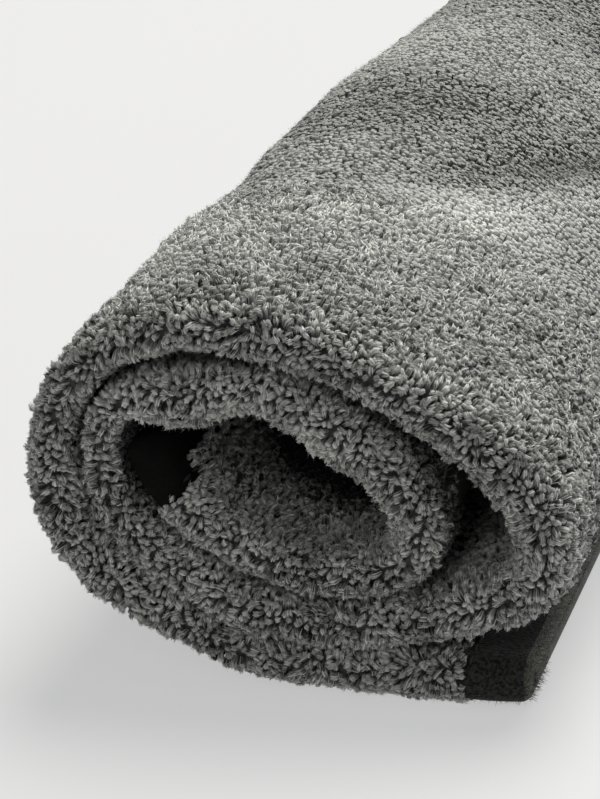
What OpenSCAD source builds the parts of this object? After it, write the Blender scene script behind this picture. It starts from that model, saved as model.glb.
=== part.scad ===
// Plush quick-dry towel, folded in half and loosely rolled up, lying on its free end.
// X is across the roll, Y runs along it with the folded edge at -Y, and Z is up.
// The origin is the centre of the roll's bounding box, at floor level.

/* [Towel] */
// Width of the towel, the way that is rolled up
towel_w = 400; // [370:10:430]
// Length of the towel, the way that is folded in half
towel_l = 800; // [600:20:1000]
// Angle that the folded edge is off square to the roll
roll_skew = 7.5; // [0:0.5:10]
// Gap between the two leaves, as a share of the half thickness
leaf_gap = 0.03; // [0.02:0.01:0.06]
// Depth of the solid fold that joins the two leaves
fold_depth = 4; // [3:0.5:6]

/* [Binding] */
// Width of the binding over every cut edge
binding_w = 11; // [8:0.5:14]
// Depth of binding beyond the cloth edge that it wraps
binding_wall = 1.2; // [0.8:0.1:1.6]
// Width of a line of stitching
thread_w = 0.6; // [0.4:0.1:0.8]
// Distance of the stitching from the inner edge of the binding
stitch_inset = 1.5; // [1:0.1:2.5]

/* [Unrolling] */
// Length of the free end that lies flat under the roll
free_end_l = 43; // [40:1:46]
// Gap where the cloth bends off the floor
bend_gap = 0.3; // [0.2:0.1:0.5]

/* [Hidden] */

// Offsets across the doubled cloth, as shares of its half thickness
binding_face = 0.94;
binding_inside = 0.08;
edge_low = 0.3;
edge_high = 0.7;

// Middle of the doubled cloth from the free end to the inner end: x, z, half thickness
spiral = [
    [15.5, 4.5, 4.2], [4, 4.1, 4.2], [-8, 3.9, 4], [-19, 3.7, 3.8], [-29, 4.1, 3.9],
    [-38.5, 7.6, 3.8], [-47, 13.1, 4], [-54, 19.8, 4.2], [-58.5, 28, 4.1], [-60.5, 37, 3.6],
    [-60, 45.5, 3.4], [-57, 52, 3.5], [-52, 57.4, 4], [-45, 60.6, 4.2], [-37, 61.8, 4.3],
    [-29, 61.2, 4.4], [-21, 59, 4.4], [-13, 55.6, 4.4], [-5, 51.2, 4.4], [3, 46.2, 4.4],
    [10, 41, 4.4], [15, 35, 4.4], [17.2, 28.5, 4.4], [16.2, 22.6, 4.4], [12, 18.8, 4.3],
    [5, 16, 4.1], [-4, 13.6, 3.9], [-13, 12.1, 3.7], [-22, 12, 3.7], [-30.5, 14, 3.9],
    [-38.3, 18, 4], [-45.2, 23.4, 4.1], [-50.2, 30.2, 3.8], [-52.6, 38, 3.2], [-52, 44.8, 3.2],
    [-49, 49, 4], [-43.5, 50.8, 4.9], [-36, 51.3, 5.1], [-28.5, 50.6, 5], [-21, 48.2, 4.9],
    [-13.5, 44.2, 4.8], [-7, 38.8, 4.7], [-2.4, 32, 4.7], [-2.6, 26, 4.6], [-6, 22.2, 4.3],
    [-12, 20.6, 4.1], [-19.5, 20.8, 4], [-27, 22.9, 4], [-34.5, 27, 4], [-40.6, 32.2, 3.8],
    [-44.4, 37.5, 3.4], [-46, 42, 3]
];
spline_steps = 8;
last_knot = len(spiral) - 1;

function spline(a, b, c, d, t) =
    0.5 * (2 * b + (c - a) * t + (2 * a - 5 * b + 4 * c - d) * t * t + (3 * b - a - 3 * c + d) * t * t * t);

curve = concat(
    [for (i = [0:last_knot - 1]) for (j = [0:spline_steps - 1])
        spline(spiral[max(i - 1, 0)], spiral[i], spiral[i + 1], spiral[min(i + 2, last_knot)], j / spline_steps)],
    [spiral[last_knot]]);
last = len(curve) - 1;
function step_length(i) = i < last ? norm([curve[i + 1][0] - curve[i][0], curve[i + 1][1] - curve[i][1]]) : 0;
run = [for (i = 0, s = 0; i <= last; s = s + step_length(i), i = i + 1) s];

// The curve is scaled until its length is the width of the towel
fit = towel_w / run[last];
x_table = [for (i = [0:last]) [fit * run[i], fit * curve[i][0]]];
z_table = [for (i = [0:last]) [fit * run[i], fit * curve[i][1]]];
half_table = [for (i = [0:last]) [fit * run[i], fit * curve[i][2]]];

slope_reach = 0.4;
function middle(s) = [lookup(s, x_table), lookup(s, z_table)];
function outward(s) =
    let (d = middle(s + slope_reach) - middle(s - slope_reach)) [-d[1], d[0]] / norm(d);

// Every strip bends at the same stations, and is straight between them, so that neighbours meet face to face
station = 2;
last_station = towel_w / station;
function bend(i, share) = middle(i * station) + share * lookup(i * station, half_table) * outward(i * station);
function across(s, share) =
    let (i = min(floor(s / station), last_station - 1), t = s / station - i)
        (1 - t) * bend(i, share) + t * bend(i + 1, share);
function stations(s0, s1) =
    let (i0 = floor(s0 / station) + 1, i1 = ceil(s1 / station) - 1)
        concat([s0], [for (i = [i0:1:i1]) i * station], [s1]);

outline_x = [for (s = stations(0, towel_w)) for (side = [-1, 1]) across(s, side)[0]];
centre_x = (min(outline_x) + max(outline_x)) / 2;

fold_l = towel_l / 2;
front = -fold_l / 2;
back = fold_l / 2;
hem_y = back - binding_w;
joint_low = free_end_l - bend_gap / 2;
joint_high = free_end_l + bend_gap / 2;
inner_edge_s = towel_w - binding_w;
room = 200;
join = 1;

// Everything between two planes parallel to the folded edge, above the floor
module slab(y0, y1) {
    c = cos(roll_skew);
    rotate([0, 0, roll_skew])
        translate([-room / 2, y0 * c, 0])
            cube([room, (y1 - y0) * c, room / 2]);
}

// A strip of the spiral: from s0 to s1 along it, share0 to share1 across it, y0 to y1 along the roll
module strip(s0, s1, share0, share1, y0, y1) {
    stops = stations(s0, s1);
    near = [for (s = stops) across(s, share0)];
    far = [for (i = [len(stops) - 1:-1:0]) across(stops[i], share1)];
    intersection() {
        translate([-centre_x, 0, 0])
            rotate([90, 0, 0])
                linear_extrude(height = fold_l + room, center = true)
                    polygon(concat(near, far));
        slab(y0, y1);
    }
}

// Plush cloth of both leaves and the fold, full thickness from s0 to s1
module plush(s0, s1) {
    for (leaf = [-1, 1])
        strip(s0, s1, leaf * leaf_gap, leaf, front, hem_y);
    strip(s0, s1, -1, 1, front, front + fold_depth);
}

// Flattened cloth edge inside a binding, for both leaves
module flat_edge(s0, s1, y0, y1) {
    for (leaf = [-1, 1])
        strip(s0, s1, leaf * edge_low, leaf * edge_high, y0, y1);
}

module free_end_cloth() {
    color([0.42, 0.42, 0.40]) {
        plush(binding_w, joint_low);
        flat_edge(binding_wall, binding_w + join, front + binding_wall, back - binding_wall);
        flat_edge(binding_w, joint_low, hem_y - join, back - binding_wall);
    }
}

module rolled_cloth() {
    color([0.42, 0.42, 0.40]) {
        plush(joint_high, inner_edge_s);
        flat_edge(inner_edge_s - join, towel_w - binding_wall, front + binding_wall, back - binding_wall);
        flat_edge(joint_high, inner_edge_s, hem_y - join, back - binding_wall);
    }
}

// Binding folded over the rolled-up edge of both leaves; the cloth lies in it from edge0 to edge1
module end_binding(s0, s1, edge0, edge1) {
    color([0.05, 0.05, 0.05])
        difference() {
            union() {
                for (leaf = [-1, 1])
                    strip(s0, s1, leaf * binding_inside, leaf * binding_face, front, back);
                strip(s0, s1, -binding_face, binding_face, front, front + fold_depth);
            }
            flat_edge(edge0, edge1, front + binding_wall, back - binding_wall);
        }
}

module free_end_binding()
    end_binding(0, binding_w, binding_wall, binding_w + join);

module inner_end_binding()
    end_binding(inner_edge_s, towel_w, inner_edge_s - join, towel_w - binding_wall);

// Binding folded over the far edge of one leaf, from s0 to s1 along the spiral
module hem(leaf, s0, s1) {
    color([0.05, 0.05, 0.05])
        difference() {
            strip(s0, s1, leaf * binding_inside, leaf * binding_face, hem_y, back);
            strip(s0 - join, s1 + join, leaf * edge_low, leaf * edge_high, hem_y - join, back - binding_wall);
        }
}

module free_end_outer_hem() hem(1, binding_w, joint_low);
module free_end_inner_hem() hem(-1, binding_w, joint_low);
module rolled_outer_hem() hem(1, joint_high, inner_edge_s);
module rolled_inner_hem() hem(-1, joint_high, inner_edge_s);

// Lines of stitching on both faces of both leaves
module stitching(s0, s1, y0, y1) {
    color([0.09, 0.09, 0.09])
        for (leaf = [-1, 1]) {
            strip(s0, s1, leaf * binding_face, leaf, y0, y1);
            strip(s0, s1, leaf * leaf_gap, leaf * binding_inside, y0, y1);
        }
}

module free_end_binding_stitching() {
    s = binding_w - stitch_inset;
    stitching(s - thread_w, s, front + fold_depth, back - stitch_inset);
}

module inner_end_binding_stitching() {
    s = inner_edge_s + stitch_inset;
    stitching(s, s + thread_w, front + fold_depth, back - stitch_inset);
}

module free_end_hem_stitching()
    stitching(binding_w, joint_low, hem_y + stitch_inset, hem_y + stitch_inset + thread_w);

module rolled_hem_stitching()
    stitching(joint_high, inner_edge_s, hem_y + stitch_inset, hem_y + stitch_inset + thread_w);

free_end_cloth();
rolled_cloth();
free_end_binding();
inner_end_binding();
free_end_outer_hem();
free_end_inner_hem();
rolled_outer_hem();
rolled_inner_hem();
free_end_binding_stitching();
inner_end_binding_stitching();
free_end_hem_stitching();
rolled_hem_stitching();
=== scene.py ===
"""A plush quick-dry towel, folded in half and loosely rolled up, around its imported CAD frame.

Lengths are in mm until a mesh is made, and the frame is the CAD's: X across the roll, Y along it, Z up.
"""

import math

import bpy
import numpy as np
from mathutils import Matrix, Vector


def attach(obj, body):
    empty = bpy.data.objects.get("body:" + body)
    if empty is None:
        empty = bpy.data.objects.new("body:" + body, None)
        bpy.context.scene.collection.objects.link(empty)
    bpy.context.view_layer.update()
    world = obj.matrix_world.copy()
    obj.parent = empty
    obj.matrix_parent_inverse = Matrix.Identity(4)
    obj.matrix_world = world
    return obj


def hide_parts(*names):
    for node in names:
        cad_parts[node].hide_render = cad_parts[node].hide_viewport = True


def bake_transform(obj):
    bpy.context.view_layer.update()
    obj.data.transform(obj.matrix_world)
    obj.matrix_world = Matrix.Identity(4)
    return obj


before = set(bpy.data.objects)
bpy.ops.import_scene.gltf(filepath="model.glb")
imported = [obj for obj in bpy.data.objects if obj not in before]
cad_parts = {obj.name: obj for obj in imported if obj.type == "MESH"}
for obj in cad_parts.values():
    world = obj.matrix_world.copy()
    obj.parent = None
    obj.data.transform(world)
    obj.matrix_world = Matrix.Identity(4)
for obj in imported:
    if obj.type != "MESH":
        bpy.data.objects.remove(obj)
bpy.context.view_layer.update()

MM = 0.001

# ---------------------------------------------------------------- camera and light

PITCH = math.radians(23)
AZIMUTH = math.radians(17.11)
LENS_MM = 125.84
SENSOR_MM = 36
CAMERA_AT = Vector((0.11155, -0.56077, 0.20949))
CLIP_NEAR = 0.01
CLIP_FAR = 20

LIGHTS_AIM = (0, -0.05, 0.03)
# Each soft lamp's name, place, width in m, watts and colour
LAMPS = (("key", (0.08, 0.35, 1.1), 0.8, 20.5, (1.0, 0.985, 0.95)),
         ("side", (1.0, 0.1, 0.5), 0.5, 3.0, (0.93, 0.95, 1.0)),
         ("front", (-0.1, -1.0, 0.8), 0.5, 1.8, (1.0, 0.99, 0.96)))
SKY_COLOUR = (0.95, 0.97, 1.0, 1)
SKY_STRENGTH = 0.22


def make_camera():
    level = math.cos(PITCH)
    forward = Vector((-math.sin(AZIMUTH) * level, math.cos(AZIMUTH) * level, -math.sin(PITCH)))
    right = Vector((math.cos(AZIMUTH), math.sin(AZIMUTH), 0))
    turn = Matrix((right, right.cross(forward), -forward)).transposed().to_4x4()
    data = bpy.data.cameras.new("camera")
    data.sensor_width = SENSOR_MM
    data.lens = LENS_MM
    data.clip_start = CLIP_NEAR
    data.clip_end = CLIP_FAR
    camera = bpy.data.objects.new("camera", data)
    camera.matrix_world = Matrix.Translation(CAMERA_AT) @ turn
    bpy.context.scene.collection.objects.link(camera)
    bpy.context.scene.camera = camera


def make_softbox(name, place, size, watts, colour):
    data = bpy.data.lights.new(name, "AREA")
    data.shape = "DISK"
    data.size = size
    data.energy = watts
    data.color = colour
    lamp = bpy.data.objects.new(name, data)
    lamp.location = place
    lamp.rotation_euler = (Vector(LIGHTS_AIM) - Vector(place)).to_track_quat("-Z", "Y").to_euler()
    bpy.context.scene.collection.objects.link(lamp)


def make_lights():
    for lamp in LAMPS:
        make_softbox(*lamp)
    world = bpy.data.worlds.new("studio")
    world.use_nodes = True
    sky = world.node_tree.nodes["Background"]
    sky.inputs["Color"].default_value = SKY_COLOUR
    sky.inputs["Strength"].default_value = SKY_STRENGTH
    bpy.context.scene.world = world
    bpy.context.scene.view_settings.view_transform = "Standard"


# ---------------------------------------------------------------- the shape of the roll

TOWEL_W = 400
TOWEL_L = 800
ROLL_SKEW = math.tan(math.radians(7.5))
BINDING_W = 11
FOLD_L = TOWEL_L / 2
FRONT_Y = -FOLD_L / 2
CENTRE_X = -20.42
FLOOR_GAP = 0.03      # the lowest that the cloth itself lies, mm
HAIR_GAP = 0.02       # the lowest that pile, nap and thread lie, mm
BLUNT = 0.75          # below 1 the fold is blunter than a half circle
FINE_STEPS = 40       # steps from point to point of SPIRAL
LENGTH_STEPS = 8      # the same, where part.scad measures the curve's length

# Middle of the doubled cloth from the free end to the inner end: x, z and half thickness. part.scad has
# the same points
SPIRAL = np.array([
    (15.5, 4.5, 4.2), (4, 4.1, 4.2), (-8, 3.9, 4), (-19, 3.7, 3.8), (-29, 4.1, 3.9),
    (-38.5, 7.6, 3.8), (-47, 13.1, 4), (-54, 19.8, 4.2), (-58.5, 28, 4.1), (-60.5, 37, 3.6),
    (-60, 45.5, 3.4), (-57, 52, 3.5), (-52, 57.4, 4), (-45, 60.6, 4.2), (-37, 61.8, 4.3),
    (-29, 61.2, 4.4), (-21, 59, 4.4), (-13, 55.6, 4.4), (-5, 51.2, 4.4), (3, 46.2, 4.4),
    (10, 41, 4.4), (15, 35, 4.4), (17.2, 28.5, 4.4), (16.2, 22.6, 4.4), (12, 18.8, 4.3),
    (5, 16, 4.1), (-4, 13.6, 3.9), (-13, 12.1, 3.7), (-22, 12, 3.7), (-30.5, 14, 3.9),
    (-38.3, 18, 4), (-45.2, 23.4, 4.1), (-50.2, 30.2, 3.8), (-52.6, 38, 3.2), (-52, 44.8, 3.2),
    (-49, 49, 4), (-43.5, 50.8, 4.9), (-36, 51.3, 5.1), (-28.5, 50.6, 5), (-21, 48.2, 4.9),
    (-13.5, 44.2, 4.8), (-7, 38.8, 4.7), (-2.4, 32, 4.7), (-2.6, 26, 4.6), (-6, 22.2, 4.3),
    (-12, 20.6, 4.1), (-19.5, 20.8, 4), (-27, 22.9, 4), (-34.5, 27, 4), (-40.6, 32.2, 3.8),
    (-44.4, 37.5, 3.4), (-46, 42, 3),
])

# The soft plush against the CAD's curve: s, how far it lies outwards, and what is added to the half
# thickness
SET = np.array([
    (0, 0, 0), (18, 0, 0), (26, -0.3, -0.2), (36, -0.9, -0.4), (46, -1.7, -0.5), (56, -1.6, -0.4),
    (66, -0.4, 0), (76, 0.5, 0), (88, 0.6, 0), (97, -0.3, 0), (105, -0.9, 0), (114, -0.9, 0.2),
    (124, -0.8, 0.4), (142, -0.7, 0.3), (158, 0, 0), (178, -0.2, 0), (190, -0.6, 0), (205, -0.2, 0),
    (250, 0, 0), (262, 0, -0.3), (272, 0, -0.7), (283, -0.1, -0.8), (290, -1.0, -0.4), (298, -2.3, 0.2),
    (304, -1.0, -0.5), (309, 1.0, -1.6), (315, 0.5, -0.9), (323, -0.9, 0.2), (330, -0.5, -0.3),
    (340, -0.8, -0.7), (350, -0.9, -0.5), (360, -0.3, 0), (375, 0, 0), (400, 0, 0),
])
SLOPE_WINDOW = 9
SET_WINDOW = 27


def spline(steps):
    """The curve through SPIRAL as part.scad draws it, with that many steps from point to point."""
    k = np.vstack([SPIRAL[:1], SPIRAL, SPIRAL[-1:]])
    a, b, c, d = (k[i:len(k) - 3 + i, None, :] for i in range(4))
    t = (np.arange(steps) / steps)[None, :, None]
    points = 0.5 * (2 * b + (c - a) * t + (2 * a - 5 * b + 4 * c - d) * t ** 2
                    + (3 * b - a - 3 * c + d) * t ** 3)
    return np.vstack([points.reshape(-1, 3), SPIRAL[-1:]])


def run_of(points):
    return np.r_[0, np.cumsum(np.hypot(*np.diff(points[:, :2], axis=0).T))]


def smoothed(values, window):
    """The values averaged over a bell-shaped window that many values wide."""
    bell = np.hanning(window)
    padded = np.pad(values, (window - 3) // 2, mode="edge")
    return np.convolve(padded, bell[1:-1] / bell.sum(), "valid")


def spiral_tables():
    """s, x, z, outward x, outward z and half thickness, every half mm along the cloth."""
    fit = TOWEL_W / run_of(spline(LENGTH_STEPS))[-1]
    fine = spline(FINE_STEPS) * fit
    run = run_of(fine)
    s = np.linspace(0, TOWEL_W, 2 * TOWEL_W + 1)
    x, z, half = (np.interp(s * run[-1] / TOWEL_W, run, fine[:, i]) for i in range(3))
    dx, dz = (smoothed(np.gradient(v, s), SLOPE_WINDOW) for v in (x, z))
    size = np.hypot(dx, dz)
    nx, nz = -dz / size, dx / size
    off, more = (smoothed(np.interp(s, SET[:, 0], SET[:, i]), SET_WINDOW) for i in (1, 2))
    return s, x - CENTRE_X + off * nx, z + off * nz, nx, nz, half + more


S_TABLE, X_TABLE, Z_TABLE, NX_TABLE, NZ_TABLE, HALF_TABLE = spiral_tables()


def look_up(s, table):
    return np.interp(s, S_TABLE, table)


def half_at(s):
    return look_up(s, HALF_TABLE)


def ease(x, low, high):
    """0 below low, 1 above high, and a smooth step between them."""
    f = np.clip((x - low) / (high - low), 0, 1)
    return f * f * (3 - 2 * f)


def ripple(s, along):
    """How far the doubled cloth stands off its middle, outwards, in mm: a dent and a swell across the top
    of the roll, and soft waves behind them."""
    top = np.clip((s - 85) / 25, 0, 1) * np.clip((235 - s) / 25, 0, 1)
    behind = along - 64 - 0.035 * (s - 125) ** 2
    dent = -1.3 * np.exp(-(behind / 13) ** 2) + 0.8 * np.exp(-((behind + 30) / 14) ** 2)
    waves = 0.8 * np.sin(along / 19 + s / 37 + 2.6) + 0.5 * np.sin(along / 31 - s / 24 + 1.3)
    return top * (dent * np.clip((along - 5) / 15, 0, 1) + waves * np.clip((behind - 15) / 30, 0, 1))


def slump(s, along):
    """How far both wraps have sunk at the roll's left shoulder, well behind the fold, in mm."""
    shoulder = np.exp(-((s - 112) / 18) ** 2) + np.exp(-((s - 297) / 14) ** 2)
    return -4.0 * shoulder * ease(along, 116, 170) * (1 - ease(along, 230, 330))


def place(s, turn, along, share):
    """Points of the doubled cloth. s runs from the free end to the inner end, turn is the angle round the
    fold, from -pi/2 on the inner leaf to pi/2 on the outer one, along is the way past the fold, and share
    is the part of the half thickness that the point is off the middle."""
    s, turn, along, share = np.broadcast_arrays(s, turn, along, share)
    nx, nz, half = look_up(s, NX_TABLE), look_up(s, NZ_TABLE), half_at(s)
    r = share * half
    off = r * np.sign(turn) * np.abs(np.sin(turn)) ** BLUNT + ripple(s, along) + slump(s, along)
    x = look_up(s, X_TABLE) + off * nx
    z = look_up(s, Z_TABLE) + off * nz
    y = FRONT_Y + ROLL_SKEW * x + half - r * np.maximum(np.cos(turn), 0) ** BLUNT + along
    return np.stack([x, y, np.maximum(z, FLOOR_GAP)], -1)


def unit(v):
    return v / np.maximum(np.linalg.norm(v, axis=-1, keepdims=True), 1e-9)


def on_leaf(s, t):
    """The turn and the along of a place t mm past the crest of the fold, or below 0 on the inner leaf."""
    arc = np.pi / 2 * 0.9 * half_at(s)
    turn = np.pi / 2 * np.clip(t / arc, -1, 1)
    return turn, np.maximum(np.abs(t) - arc, 0)


def cloth_point(s, t, share):
    return place(s, *on_leaf(s, t), share)


# ---------------------------------------------------------------- meshes and bodies

BEND_S = (36, 52)     # the cloth bends between these when the roll tips back


def make_mesh(name, points, faces, materials, index=None):
    """A smooth mesh object from points in mm, and faces as arrays of the same number of corners each."""
    me = bpy.data.meshes.new(name)
    me.vertices.add(len(points))
    me.vertices.foreach_set("co", (points * MM).astype(np.float32).ravel())
    corners = np.concatenate([f.ravel() for f in faces])
    sizes = np.concatenate([np.full(len(f), f.shape[1]) for f in faces])
    me.loops.add(len(corners))
    me.loops.foreach_set("vertex_index", corners.astype(np.int32))
    me.polygons.add(len(sizes))
    me.polygons.foreach_set("loop_start", np.r_[0, np.cumsum(sizes)[:-1]].astype(np.int32))
    me.polygons.foreach_set("use_smooth", np.full(len(sizes), True))
    for m in materials:
        me.materials.append(m)
    if index is not None:
        me.polygons.foreach_set("material_index", index.astype(np.int32))
    me.update(calc_edges=True)
    me.validate()
    o = bpy.data.objects.new(name, me)
    bpy.context.scene.collection.objects.link(o)
    return o


def settle(piece, s):
    """Puts a piece on its body. s is how far along the cloth each vertex is: before the bend it stays with
    the free end, and past the bend it goes with the roll. A piece that crosses the bend is left on no body,
    with its placing baked into its points."""
    if s.max() <= BEND_S[0]:
        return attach(piece, "free_end")
    if s.min() >= BEND_S[1]:
        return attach(piece, "roll")
    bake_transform(piece)
    return piece


def grid_faces(rows, columns, close_columns=False):
    """The four-sided faces of a grid of points, row by row."""
    i = np.arange(rows - 1)
    j = np.arange(columns if close_columns else columns - 1)
    i, j = np.meshgrid(i, j, indexing="ij")
    j2 = (j + 1) % columns
    corners = (i * columns + j, (i + 1) * columns + j, (i + 1) * columns + j2, i * columns + j2)
    return np.stack(corners, -1).reshape(-1, 4)


# ---------------------------------------------------------------- materials

# Pile colours from painted shade in a crack between tufts to painted light on the tips, with the tufts' own
# tones between
PILE_TONES = ((0.014, 0.014, 0.013), (0.15, 0.152, 0.142), (0.26, 0.263, 0.247),
              (0.37, 0.375, 0.352), (0.48, 0.486, 0.456), (0.60, 0.607, 0.57))
MIDDLE_TONE = 3
NAP_GRAIN = 0.45      # the fine nap in a felt's or a cloth's bump, mm


def principled(name, colour, roughness, **sockets):
    m = bpy.data.materials.new(name)
    m.use_nodes = True
    shader = m.node_tree.nodes["Principled BSDF"]
    shader.inputs["Base Color"].default_value = (*colour, 1)
    shader.inputs["Roughness"].default_value = roughness
    for socket, value in sockets.items():
        shader.inputs[socket.replace("_", " ")].default_value = value
    return m


def node(tree, kind, **inputs):
    n = tree.nodes.new(kind)
    for key, value in inputs.items():
        n.inputs[key].default_value = value
    return n


def mottled(name, dark, light, roughness, grain, bump, distance, spread=0.18, **sockets):
    """A cloth whose colour wanders between dark and light over grain mm, with a fine nap as its bump. The
    smaller the spread, the sharper its specks."""
    m = principled(name, light, roughness, **sockets)
    tree = m.node_tree
    shader = tree.nodes["Principled BSDF"]
    where = node(tree, "ShaderNodeTexCoord")
    big = node(tree, "ShaderNodeTexNoise", Scale=1 / (grain * MM), Detail=5.0, Roughness=0.65)
    ramp = node(tree, "ShaderNodeValToRGB")
    for element, side, colour in zip(ramp.color_ramp.elements, (-1, 1), (dark, light)):
        element.position = 0.5 + side * spread
        element.color = (*colour, 1)
    fine = node(tree, "ShaderNodeTexNoise", Scale=1 / (NAP_GRAIN * MM), Detail=3.0, Roughness=0.6)
    lift = node(tree, "ShaderNodeBump", Strength=bump, Distance=distance)
    tree.links.new(where.outputs["Object"], big.inputs["Vector"])
    tree.links.new(big.outputs["Fac"], ramp.inputs["Fac"])
    tree.links.new(ramp.outputs["Color"], shader.inputs["Base Color"])
    tree.links.new(where.outputs["Object"], fine.inputs["Vector"])
    tree.links.new(fine.outputs["Fac"], lift.inputs["Height"])
    tree.links.new(lift.outputs["Normal"], shader.inputs["Normal"])
    return m


pile_materials = [principled(f"pile_{i}", tone, 0.7, Sheen_Weight=0.25, Sheen_Roughness=0.5,
                             Specular_IOR_Level=0.25)
                  for i, tone in enumerate(PILE_TONES)]
cloth_material = mottled("towel_ground", (0.05, 0.052, 0.05), (0.11, 0.112, 0.105), 0.95, 3, 0.4, 0.0004)
felt = mottled("binding_felt", (0.001, 0.001, 0.001), (0.03, 0.03, 0.027), 0.92, 0.55, 1.0, 0.0004,
               spread=0.09, Sheen_Weight=0.1, Sheen_Roughness=0.4, Specular_IOR_Level=0.2)
shaded_felt = mottled("shaded_felt", (0.0015, 0.0015, 0.0014), (0.004, 0.004, 0.0036), 0.95, 4, 0.6, 0.00025,
                      Specular_IOR_Level=0.1)
# A lighter, olive felt for the rounded outer edge of the free end's binding: painted light
lit_edge_felt = mottled("lit_edge_felt", (0.006, 0.006, 0.004), (0.075, 0.075, 0.054), 0.95, 0.7, 1.0, 0.0004,
                    spread=0.11, Sheen_Weight=0.3, Sheen_Roughness=0.4, Specular_IOR_Level=0.2)
felt_fibre = principled("felt_fibre", (0.05, 0.05, 0.04), 0.8, Specular_IOR_Level=0.2)
shaded_fibre = principled("shaded_fibre", (0.006, 0.006, 0.005), 0.9, Specular_IOR_Level=0.1)
thread = mottled("stitching_thread", (0.006, 0.006, 0.006), (0.02, 0.02, 0.019), 0.6, 0.6, 0.4, 0.0001)


# ---------------------------------------------------------------- pile

PILE_FOOT = 0.5       # share of the half thickness where the tufts grow from the woven ground
PILE_PROUD = 0.6      # how far the tuft tips stand past the CAD face, mm
# A tuft's core: how many sides, then for each ring how far up the stem it is, how thick, and how many tones
# lighter, which paints shade low on the stem and light at the tip
NEAR_CORE = (5, ((0.15, 0.8, -2.0), (0.7, 1.0, -0.3), (1.0, 0.62, 0.1)))
FAR_CORE = (4, ((0.35, 0.9, -0.7), (0.85, 1.05, 0), (1.0, 0.65, 0.1)))
# A strand on a tuft: how far up the stem, how far out from its middle, and how wide
STRAND = ((0.25, 0.9, 0.8), (0.65, 1.08, 1.1), (0.9, 1.0, 0.9), (1.08, 0.35, 0))
FUZZ_WIDE = 0.06
FUZZ_LONG = (0.35, 0.9)

# How tall the pile stands on each leaf against its usual height, at each s
OUTER_TRIM = ((14, 1), (22, 0.6), (58, 0.6), (68, 1), (285, 1), (292, 0.75), (340, 0.75), (352, 1),
              (364, 0.75), (378, 0.75), (388, 1))
INNER_TRIM = ((88, 1), (100, 0.55), (160, 0.6), (172, 1), (262, 1), (270, 0.5), (288, 0.5), (296, 1),
              (345, 1), (365, 0.7), (382, 0.7), (387, 1.05))
# Painted light and shade, in tones lighter: painted shade in the crevices of the inner leaf, painted light
# across the top of the roll, painted light and shade back from the fold there, painted light on the second
# wrap and painted shade where the inner end coils
INNER_PAINTED_SHADE = ((86, 0), (104, -1.2), (165, -1.2), (178, 0), (258, 0), (268, -1.8), (290, -1.8), (296, -0.7),
              (304, -0.7), (316, 0))
TOP_PAINTED_LIGHT = ((85, 0), (105, 0.7), (150, 1), (172, 0.2), (188, 0.3), (205, 0))
BACK_PAINTED_LIGHT_AND_SHADE = ((20, 0), (45, 0.7), (68, 1.4), (88, 0.1), (112, -0.6), (150, -0.7), (190, -1.0), (240, 0))
SECOND_WRAP_PAINTED_LIGHT = ((282, 0), (292, 1.0), (320, 0.8), (336, 0))
COIL_PAINTED_SHADE = ((318, 0), (330, -2.2), (350, -2.2), (360, 0))


def read_off(x, table):
    """The value at x in a table of pairs, straight from pair to pair."""
    return np.interp(x, *zip(*table))


def wander(s, t, seed, size):
    """Smooth noise of about -1 to 1 over the cloth, with swells about size mm across."""
    r = np.random.default_rng(seed)
    out = np.zeros(np.shape(s))
    for _ in range(7):
        angle, phase = r.uniform(0, 2 * np.pi, 2)
        k = 2 * np.pi / (size * r.uniform(0.7, 1.6))
        out += np.sin(k * (s * np.cos(angle) + t * np.sin(angle)) + phase)
    return out / 2.6


def sow(s0, s1, t0, t1, pitch, seed):
    """Jittered places over a stretch of the cloth: s, and t mm past the crest of the fold, below 0 on the
    inner leaf."""
    r = np.random.default_rng(seed)
    ns, nt = max(1, round((s1 - s0) / pitch)), max(1, round((t1 - t0) / pitch))
    i, j = np.meshgrid(np.arange(ns), np.arange(nt), indexing="ij")
    s = s0 + (i + 0.5 + r.uniform(-0.4, 0.4, i.shape)) * (s1 - s0) / ns
    t = t0 + (j + 0.5 + 0.5 * (i % 2) - 0.25 + r.uniform(-0.4, 0.4, i.shape)) * (t1 - t0) / nt
    return s.ravel(), t.ravel()


def sown(*fields):
    """Several sow() fields as one."""
    return tuple(np.concatenate(v) for v in zip(*fields))


def trim(s, t):
    """How tall the pile stands against its usual height: it is crushed where the wraps press together."""
    leaf = np.where(t > 0, read_off(s, OUTER_TRIM), read_off(s, INNER_TRIM))
    return 1 + (leaf - 1) * np.clip((np.abs(t) - 1.5) / 3, 0, 1)


def painted_light_and_shade(s, t):
    """How many tones lighter the pile is, all of it painted light and shade: painted light on top of the
    roll, on its swells and on the second wrap, painted shade in its dents, and painted shade in the crevices
    where the wraps press on it and where the inner end coils."""
    inner = read_off(s, INNER_PAINTED_SHADE) * np.clip((np.abs(t) - 1) / 4, 0, 1)
    top = read_off(s, TOP_PAINTED_LIGHT) * read_off(t, BACK_PAINTED_LIGHT_AND_SHADE)
    swells = (1.1 - 0.6 * ease(t, 110, 190)) * ripple(s, np.abs(t))
    coil = read_off(s, COIL_PAINTED_SHADE) * np.clip((t - 2) / 6, 0, 1)
    second = read_off(s, SECOND_WRAP_PAINTED_LIGHT) * (t > -8)
    return np.where(t > 0, top + swells, inner) + second + coil


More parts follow.
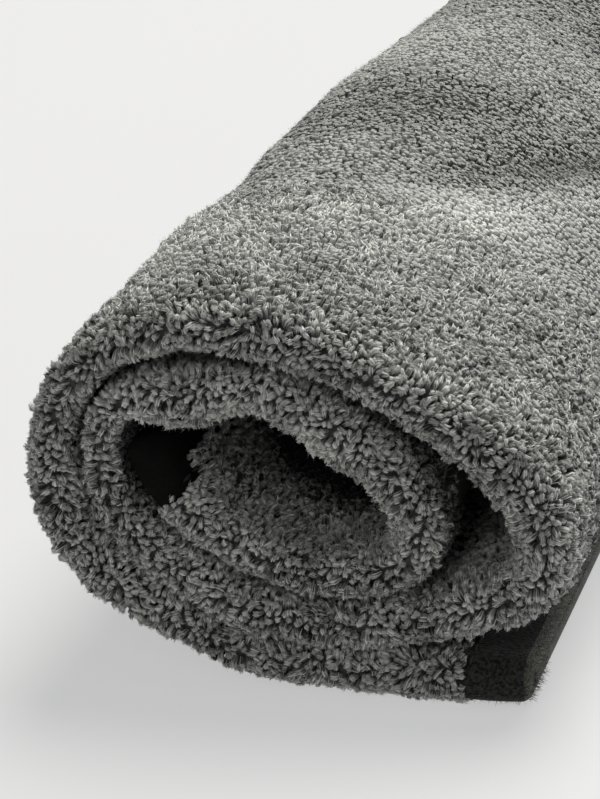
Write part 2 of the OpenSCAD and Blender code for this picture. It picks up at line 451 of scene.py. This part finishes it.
def stems(s, t, curl, rough, r):
    """The tufts' stems: foot, bend, tip, the way up, the way they lie over, and the way across both."""
    n = len(s)
    foot = cloth_point(s, t, PILE_FOOT)
    grow = unit(cloth_point(s, t, 1.0) - foot)
    u = cloth_point(s + 0.4, t, PILE_FOOT) - cloth_point(s - 0.4, t, PILE_FOOT)
    u = unit(u - (u * grow).sum(-1, keepdims=True) * grow)
    v = cloth_point(s, t + 0.4, PILE_FOOT) - cloth_point(s, t - 0.4, PILE_FOOT)
    v = unit(v - (v * grow).sum(-1, keepdims=True) * grow)
    high = (half_at(s) * (1 - PILE_FOOT) + PILE_PROUD) * trim(s, t)
    high = high * (1 + rough * (0.10 * wander(s, t, 15, 7) + 0.12 * r.normal(size=n))).clip(0.5, 1.5)

    # The pile parts a little along the crest of the fold, and lies over in swells, each tuft a little its
    # own way
    lie_u = 0.5 * wander(s, t, 11, 11) + 0.4 * wander(s, t, 12, 4) + 0.5 * r.normal(size=n)
    parting = 0.3 * np.tanh((t + 3 * wander(s, t, 17, 9)) / 3)
    lie_v = parting + 0.5 * wander(s, t, 13, 11) + 0.4 * wander(s, t, 14, 4) + 0.5 * r.normal(size=n)
    lie = u * lie_u[:, None] + v * lie_v[:, None]
    length = np.linalg.norm(lie, axis=-1, keepdims=True)
    lie = lie / np.maximum(length, 1e-6) * np.clip(length, 0.3, 1.0)
    reach = curl * r.uniform(0.6, 1.3, (n, 1))
    bend = foot + grow * high[:, None] + lie * 0.1
    tip = foot + grow * (high * 0.84)[:, None] + lie * reach
    return foot, bend, tip, grow, lie, unit(np.cross(grow, lie))


def on_stem(stem, f):
    """A point a share f up each stem, its direction there, and the second of the two directions across
    it."""
    foot, bend, tip, _, _, across = stem
    run = unit((bend - foot) * (1 - f) + (tip - bend) * f)
    return foot * (1 - f) ** 2 + 2 * bend * f * (1 - f) + tip * f ** 2, run, np.cross(run, across)


def locks(stem, thick, core, r):
    """The blunt lock round each stem: its points, its four-sided faces a band, and its pointed end's
    faces."""
    across, n = stem[5], len(stem[0])
    sides, rings = core
    corner = np.arange(sides)
    angle = corner[None, :] * 2 * np.pi / sides + r.uniform(0, 2 * np.pi, (n, 1))
    fat = thick * r.uniform(0.8, 1.2, (n, 1))
    fat = fat * (1 + 0.16 * np.cos(2 * angle) + 0.12 * r.normal(size=(n, sides)))
    rows = []
    for f, w, _ in rings:
        middle, run, other = on_stem(stem, f)
        a = (angle + 0.5 * f)[..., None]
        ring = across[:, None] * np.cos(a) + other[:, None] * np.sin(a)
        rows.append(middle[:, None] + ring * (w * fat * (1 + 0.08 * r.normal(size=(n, sides))))[..., None])
    end = stem[2] + run * thick * r.uniform(0.3, 0.6, (n, 1))
    points = np.concatenate([*rows, end[:, None]], 1).reshape(-1, 3)
    per = len(rings) * sides + 1
    base = (np.arange(n) * per)[:, None, None]
    following = (corner + 1) % sides
    band = np.stack([corner, following, following + sides, corner + sides], -1)
    bands = [(base + (band + q * sides)[None]).reshape(-1, 4) for q in range(len(rings) - 1)]
    last = per - 1 - sides
    crown = np.stack([last + corner, last + following, np.full(sides, per - 1)], -1)
    return points, bands, (base + crown[None]).reshape(-1, 3)


def strand_blades(stem, thick, wide, k, r):
    """k flat strands twisted round each lock, with the points of one blade after another."""
    across, n = stem[5], len(stem[0])
    angle = (np.arange(k)[None, :] + r.uniform(-0.3, 0.3, (n, k))) * 2 * np.pi / k
    angle = angle + r.uniform(0, 2 * np.pi, (n, 1))
    spin = r.choice([-1, 1], (n, 1)) * r.uniform(0.5, 1.6, (n, 1))
    off = thick * r.uniform(0.95, 1.25, (n, k))
    stray = 0.07 * r.normal(size=(n, k, 3))
    rows = []
    for f, b, w in STRAND:
        middle, run, other = on_stem(stem, f)
        a = (angle + spin * f)[..., None]
        out = across[:, None] * np.cos(a) + other[:, None] * np.sin(a)
        side = other[:, None] * np.cos(a) - across[:, None] * np.sin(a)
        lean = (run * thick * 0.5 * f ** 4)[:, None]
        centre = middle[:, None] + out * (off * b)[..., None] + stray * f + lean
        rows += [centre - side * wide * w / 2, centre + side * wide * w / 2] if w else [centre]
    return np.stack(rows, 2)


def loose_fibres(stem, thick, rough, per_tuft, r):
    """Fine three-cornered fibres off each lock, and which tuft each is on."""
    foot, bend, tip, grow, lie, _ = stem
    m = per_tuft * len(foot)
    who = np.repeat(np.arange(len(foot)), per_tuft)
    f = r.uniform(0.45, 0.95, (m, 1))
    root = foot[who] * (1 - f) ** 2 + 2 * bend[who] * f * (1 - f) + tip[who] * f ** 2
    out = unit(r.normal(size=(m, 3)) + 0.8 * grow[who])
    up = grow[who] * r.uniform(0, 0.8 * rough, (m, 1))
    over = unit(lie[who]) * r.uniform(0.3, 1.2, (m, 1))
    way = unit(out * 0.5 + up + over + 0.4 * r.normal(size=(m, 3)))
    root = root + thick * 0.95 * out
    side = unit(np.cross(way, r.normal(size=(m, 3)))) * FUZZ_WIDE / 2
    return np.stack([root - side, root + side, root + way * r.uniform(*FUZZ_LONG, (m, 1))], 1), who


def pile(name, spots, thick, seed, core=NEAR_CORE, strands=0, wide=0.25, curl=1.0, fuzz=2, tone=0.0, mix=0.75,
         rough=1.0):
    """Tufts at (s, t) spots. Each is a blunt lock that stands up and then lies over, with strands twisted
    round it and loose fibres on it. tone may be a number or one value a tuft, and mix is how much the
    tufts differ."""
    s, t = spots
    r = np.random.default_rng(seed)
    n = len(s)
    stem = stems(s, t, curl, rough, r)
    sides, rings = core
    points, quads, ends = locks(stem, thick, core, r)
    tips = [ends]
    # The tufts' own tone and its random differences, with painted light and painted shade added by where each
    # tuft lies on the roll
    tones = MIDDLE_TONE + tone + painted_light_and_shade(s, t) + 0.6 * mix * wander(s, t, 16, 16) + mix * r.normal(size=n)
    # Each ring takes its tuft's tone plus its own: painted shade low on the stem, painted light at the tip
    quad_tones = [np.repeat(tones + lighter, sides) for _, _, lighter in rings[:-1]]
    tip_tones = [np.repeat(tones + rings[-1][2], sides)]
    of_s = [np.repeat(s, len(rings) * sides + 1)]

    if strands:
        blades = strand_blades(stem, thick, wide, strands, r)
        own = (tones[:, None] + 0.2 + 0.8 * r.normal(size=(n, strands))).ravel()
        per = blades.shape[2]
        root = len(points) + (np.arange(n * strands) * per)[:, None]
        steps = len(STRAND) - 1
        quads += [root + np.array([[2 * i, 2 * i + 1, 2 * i + 3, 2 * i + 2]]) for i in range(steps - 1)]
        tips.append(root + np.array([[2 * steps - 2, 2 * steps - 1, 2 * steps]]))
        # A strand is painted darker at its foot and lighter at its tip: painted shade and painted light
        quad_tones += [own - 1.0] + [own] * (steps - 2)
        tip_tones.append(own + 0.4)
        points = np.concatenate([points, blades.reshape(-1, 3)])
        of_s.append(np.repeat(s, strands * per))

    if fuzz:
        hair, who = loose_fibres(stem, thick, rough, fuzz, r)
        tips.append(len(points) + np.arange(3 * len(hair)).reshape(-1, 3))
        points = np.concatenate([points, hair.reshape(-1, 3)])
        # Loose fibres are painted lighter than their tuft: painted light
        tip_tones.append(tones[who] + 0.6 * rough)
        of_s.append(np.repeat(s[who], 3))

    points[:, 2] = np.maximum(points[:, 2], HAIR_GAP)
    index = np.clip(np.round(np.concatenate(quad_tones + tip_tones)), 0, len(PILE_TONES) - 1)
    o = make_mesh(name, points, [np.concatenate(quads), np.concatenate(tips)], pile_materials, index)
    return settle(o, np.concatenate(of_s))


# ---------------------------------------------------------------- cloth, bindings and stitches

CLOTH_INSET = 1.2     # how far inside the bindings the woven ground ends
LONG_BEND = np.pi / 2
BAND_HIGH = 0.94      # share of the half thickness that the felt reaches
NAP_WIDE = 0.09
NAP_LONG = (0.4, 1.5)
STITCH_LONG = 2.1
STITCH_WIDE = 0.55
STITCH_STEP = 2.9
STITCH_INSET = 9.2    # from the edge of the binding to its line of stitches
STITCH_LIES = 0.9
STITCH_SIDES = 6
# How far along a stitch each ring is, and its share of the width
STITCH_RINGS = ((0, 0.4), (0.2, 0.9), (0.5, 1), (0.8, 0.9), (1, 0.4))


def round_the_fold(bends, flats):
    """The turn, and the share of the way to the far edge, of a line from the far edge of the inner leaf,
    round the fold, to the far edge of the outer leaf."""
    flat = np.linspace(0, 1, flats)[1:]
    turn = np.r_[np.full(len(flat), -LONG_BEND), np.linspace(-LONG_BEND, LONG_BEND, bends),
                 np.full(len(flat), LONG_BEND)]
    return turn, np.r_[flat[::-1], np.zeros(bends), flat]


def cloth():
    """The woven ground of the towel: one sheet, folded in half, with its edges inside the bindings."""
    s = np.linspace(CLOTH_INSET, TOWEL_W - CLOTH_INSET, 266)
    turn, part = round_the_fold(13, 84)
    S, T = np.meshgrid(s, turn, indexing="ij")
    along = part * (FOLD_L - CLOTH_INSET - half_at(S))
    # The sheet thins where the bindings grip it
    grip = np.clip(np.minimum(np.minimum(S - 9, TOWEL_W - 9 - S), FOLD_L - 9 - half_at(S) - along) / 3, 0, 1)
    outer = place(S, T, along, 0.5 + 0.12 * grip)
    inner = place(S, T, along, 0.42 - 0.30 * grip)
    rows, columns = S.shape
    count = rows * columns
    points = np.concatenate([outer.reshape(-1, 3), inner.reshape(-1, 3)])
    top = grid_faces(rows, columns)
    rim = np.concatenate([np.arange(columns), columns * np.arange(1, rows) + columns - 1,
                          (rows - 1) * columns + np.arange(columns - 2, -1, -1),
                          columns * np.arange(rows - 2, 0, -1)])
    following = np.roll(rim, -1)
    edge = np.stack([rim, following, following + count, rim + count], -1)
    o = make_mesh("towel_cloth", points, [top[:, ::-1], top + count, edge], [cloth_material])
    return settle(o, np.tile(S.ravel(), 2))


def rounded_band(wide, low, high, round_w):
    """The closed outline of a binding: how far in from the edge, and the share of the half thickness. It
    has a rounded edge, and a pressed groove where its stitches lie."""
    arc = np.linspace(0, np.pi / 2, 8)
    edge = [(0.1, low), (0, low + 0.04)]
    edge += [(round_w * (1 - math.cos(a)), high - 0.45 + 0.45 * math.sin(a)) for a in arc]
    top = [(wide * 0.45, 0.02), (wide * 0.62, 0.015), (wide - 2.2, -0.005), (wide - 1.6, -0.045),
           (wide - 1.1, -0.01), (wide - 0.35, -0.02), (wide, -0.07)]
    bottom = [(w, low) for w in (wide, wide * 0.6, wide * 0.35)]
    return np.array(edge + [(w, high + puff) for w, puff in top] + bottom)


def band_mesh(name, points, s, materials, flip, painted_light_faces=None):
    """A binding from the rows of its outline, closed at both ends. The faces marked in the last argument take
    the second material, a lighter felt that paints light on the binding's rounded edge."""
    rows, columns = s.shape
    faces = grid_faces(rows, columns, close_columns=True)
    caps = np.stack([np.arange(columns)[::-1], (rows - 1) * columns + np.arange(columns)])
    if flip:
        faces, caps = faces[:, ::-1], caps[:, ::-1]
    o = make_mesh(name, points.reshape(-1, 3), [faces, caps], materials, painted_light_faces)
    return settle(o, s.ravel())


def end_binding(name, s_edge, way, material, lit_edge_material):
    """The felt over the rolled-up edge of both leaves, from the far edge of one leaf, round the fold, to
    the far edge of the other."""
    band = rounded_band(BINDING_W, 0.0, BAND_HIGH, 1.6)
    turn, part = round_the_fold(17, 120)
    T, W = np.meshgrid(turn, band[:, 0], indexing="ij")
    P, H = np.meshgrid(part, band[:, 1], indexing="ij")
    S = s_edge + way * W
    points = place(S, T, P * (FOLD_L - half_at(S)), H)
    # The rounded outer edge takes the second material: painted light
    painted_light_faces = (band[:, 0] < 0.9) & (band[:, 1] < 0.85)
    painted_light_faces = np.r_[np.tile(painted_light_faces, len(turn) - 1), False, False]
    return band_mesh(name, points, S, [material, lit_edge_material], way < 0, painted_light_faces)


def hem(name, leaf, s0, s1):
    """The felt over the far edge of one leaf."""
    band = rounded_band(BINDING_W, 0.08, BAND_HIGH, 1.7)
    s = np.linspace(s0, s1, max(2, round((s1 - s0) / 2)))
    S, W = np.meshgrid(s, band[:, 0], indexing="ij")
    points = place(S, leaf * LONG_BEND, FOLD_L - half_at(S) - W, band[:, 1])
    return band_mesh(name, points, S, [felt], leaf > 0)


def nap(name, spots, seed, material):
    """Short loose fibres standing off the felt at (s, t) spots, and off its outer edge."""
    s, t = spots
    r = np.random.default_rng(seed)
    n = len(s)
    edge = np.minimum(s, TOWEL_W - s) < 1.5
    grow = unit(cloth_point(s, t, 1.0) - cloth_point(s, t, 0.7))
    foot = cloth_point(s, t, np.where(edge, r.uniform(0.05, 0.9, n), 0.92))
    out = unit(cloth_point(s - 0.5, t, 0.9) - cloth_point(s + 0.5, t, 0.9))
    out = out * np.where(s > TOWEL_W / 2, -1, 1)[:, None]
    way = unit(grow * r.uniform(0, 0.7, (n, 1)) + out * (1.5 * edge)[:, None] + 0.6 * r.normal(size=(n, 3)))
    side = unit(np.cross(way, r.normal(size=(n, 3)))) * NAP_WIDE / 2
    points = np.stack([foot - side, foot + side, foot + way * r.uniform(*NAP_LONG, (n, 1))], 1).reshape(-1, 3)
    points[:, 2] = np.maximum(points[:, 2], HAIR_GAP)
    o = make_mesh(name, points, [np.arange(3 * n).reshape(-1, 3)], [material])
    return settle(o, np.repeat(s, 3))


def hem_t(s, inset):
    """The t of a place that far in from the hem's edge."""
    return FOLD_L + (np.pi / 2 * 0.9 - 1) * half_at(s) - inset


def stitches(name, lines):
    """Lines of stitching, each with the s and t of its stitches and whether it runs along s."""
    points, of_s = [], []
    corner = np.arange(STITCH_SIDES) * 2 * np.pi / STITCH_SIDES
    for s, t, along_s in lines:
        ds, dt = (STITCH_LONG / 2, 0) if along_s else (0, STITCH_LONG / 2)
        start = cloth_point(s - ds, t - dt, STITCH_LIES)
        end = cloth_point(s + ds, t + dt, STITCH_LIES)
        grow = unit(cloth_point(s, t, 1.0) - cloth_point(s, t, 0.5))
        side = unit(np.cross(end - start, grow))
        rings = []
        for f, w in STITCH_RINGS:
            middle = start + (end - start) * f + grow * STITCH_WIDE * 0.5 * math.sin(math.pi * f)
            rings += [middle + (side * math.cos(a) + grow * math.sin(a)) * w * STITCH_WIDE / 2
                      for a in corner]
        points.append(np.stack(rings, 1).reshape(-1, 3))
        of_s.append(np.repeat(s, len(rings)))
    points, of_s = np.concatenate(points), np.concatenate(of_s)
    points[:, 2] = np.maximum(points[:, 2], HAIR_GAP)
    per = len(STITCH_RINGS) * STITCH_SIDES
    base = (np.arange(len(points) // per) * per)[:, None]
    walls = grid_faces(len(STITCH_RINGS), STITCH_SIDES, close_columns=True)
    walls = (base[..., None] + walls[None]).reshape(-1, 4)
    start_cap = base + np.arange(STITCH_SIDES)[None, ::-1]
    end_cap = base + per - STITCH_SIDES + np.arange(STITCH_SIDES)[None]
    o = make_mesh(name, points, [walls, start_cap, end_cap], [thread])
    return settle(o, of_s)


def edge_lines(s):
    """The stitch lines of an end binding, down both leaves."""
    down_leaf = np.arange(4, hem_t(0, 3), STITCH_STEP)
    return [(np.full(down_leaf.shape, s), leaf * down_leaf, False) for leaf in (1, -1)]


def hem_lines():
    """The stitch lines of the two hems, round the roll."""
    s = np.arange(BINDING_W + 1, TOWEL_W - BINDING_W, STITCH_STEP)
    return [(s, leaf * hem_t(s, STITCH_INSET), True) for leaf in (1, -1)]


# ---------------------------------------------------------------- build

make_camera()
make_lights()

towel = cloth()
edges = [
    end_binding("free_end_binding_felt", 0, 1, felt, lit_edge_felt),
    end_binding("inner_end_binding_felt", TOWEL_W, -1, shaded_felt, shaded_felt),
    hem("outer_hem_felt", 1, BINDING_W - 1, TOWEL_W - BINDING_W + 1),
    hem("inner_hem_felt", -1, BINDING_W - 1, TOWEL_W - BINDING_W + 1),
]

# Where each field of pile begins and ends, along the cloth and back from the fold
EDGE = BINDING_W - 0.8      # the pile leans over the felt a little
FAR_EDGE = TOWEL_W - EDGE
INNER_EDGE = TOWEL_W - BINDING_W + 4.6
TOP = (60, 238)
CREST_T = 6.5
FRONT_T = 14
NEAR_T = 60
MID_T = 212
DEEP_T = 74
HOLE_BACK_T = 320
HEM_T = FOLD_L - BINDING_W + 1
HOLE_S = 235
SPARSE = 1.75               # the pitch of the tufts where they are hardly seen

fold = sown(sow(EDGE, FAR_EDGE, -CREST_T, CREST_T, 0.82, 1),
            sow(EDGE, INNER_EDGE, -FRONT_T, -CREST_T, 0.93, 21),
            sow(EDGE, FAR_EDGE, CREST_T, FRONT_T, 0.93, 22))
hole = sow(HOLE_S, INNER_EDGE, -DEEP_T, -FRONT_T, 1.0, 5)
# Painted shade darkens the pile in the hole from here inwards, mm from the fold
hole_shade_from = read_off(hole[0], ((345, 16), (375, 19), (392, 31)))
piles = [
    pile("pile_fold", fold, 0.36, 101, strands=8, wide=0.17, fuzz=3),
    pile("pile_top_near", sow(*TOP, FRONT_T, NEAR_T, 0.88, 2), 0.44, 102, strands=4, wide=0.2, curl=0.8,
         fuzz=3, mix=0.5, rough=0.8),
    pile("pile_top_mid", sow(*TOP, NEAR_T, MID_T, 0.86, 3), 0.52, 103, curl=0.7, mix=0.25, rough=0.5),
    # The far pile is a little darker: painted shade in place of the near locks' darker feet
    pile("pile_top_far", sow(*TOP, MID_T - 1, HEM_T, 1.25, 4), 0.74, 104, core=FAR_CORE, curl=0.5, tone=-0.3,
         mix=0.15, rough=0.3),
    pile("pile_crescent", sow(172, 238, -70, -FRONT_T, 1.1, 8), 0.56, 108, fuzz=1, tone=0.3),
    pile("pile_hole", hole, 0.48, 105, strands=3, tone=np.minimum(0, (hole[1] + hole_shade_from) / 2)),
    # The pile in the gap between the wraps is darker: painted shade
    pile("pile_gap", sow(170, 335, FRONT_T - 0.6, NEAR_T, 1.15, 6), 0.56, 106, fuzz=1, tone=-1.2),
    pile("pile_free_end", sow(EDGE, TOP[0], -HEM_T, -FRONT_T, SPARSE, 7), 0.95, 107, core=FAR_CORE, fuzz=0),
    pile("pile_underside", sow(EDGE, TOP[0], FRONT_T, HEM_T, SPARSE, 9), 0.95, 109, core=FAR_CORE, fuzz=0),
    pile("pile_hole_back", sow(HOLE_S, FAR_EDGE, -HEM_T, -HOLE_BACK_T, SPARSE, 10), 0.95, 110, core=FAR_CORE,
         fuzz=0, tone=-0.5),
]

felt_front = sow(1.5, BINDING_W - 1, -120, 30, 0.42, 31)
felt_edge = sow(0, 0.8, -388, 14, 0.17, 33)
felt_inside = sow(TOWEL_W - BINDING_W + 1, TOWEL_W - 0.3, -40, 8, 0.7, 32)
naps = [
    nap("free_end_binding_nap", sown(felt_front, felt_edge), 111, felt_fibre),
    nap("inner_end_binding_nap", felt_inside, 112, shaded_fibre),
]
threads = [
    stitches("free_end_stitches", edge_lines(STITCH_INSET)),
    stitches("inner_end_stitches", edge_lines(TOWEL_W - STITCH_INSET)),
    stitches("hem_stitches", hem_lines()),
]

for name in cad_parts:
    if name.endswith("cloth"):
        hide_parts(name)
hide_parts("free_end_binding")
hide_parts("inner_end_binding")
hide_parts("free_end_outer_hem", "rolled_outer_hem")
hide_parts("free_end_inner_hem", "rolled_inner_hem")
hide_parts("free_end_binding_stitching")
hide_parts("inner_end_binding_stitching")
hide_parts("free_end_hem_stitching", "rolled_hem_stitching")

bpy.ops.mesh.primitive_plane_add(size=6, location=(0, 0, 0))
floor = bpy.context.object
floor.name = "floor"
# Besides reflecting, the floor glows a little: painted light that pales the towel's shadow on it
floor.data.materials.append(principled("floor_paint", (0.23, 0.23, 0.231), 0.6, Specular_IOR_Level=0.2,
                                       Emission_Color=(1, 1, 1, 1), Emission_Strength=0.48))
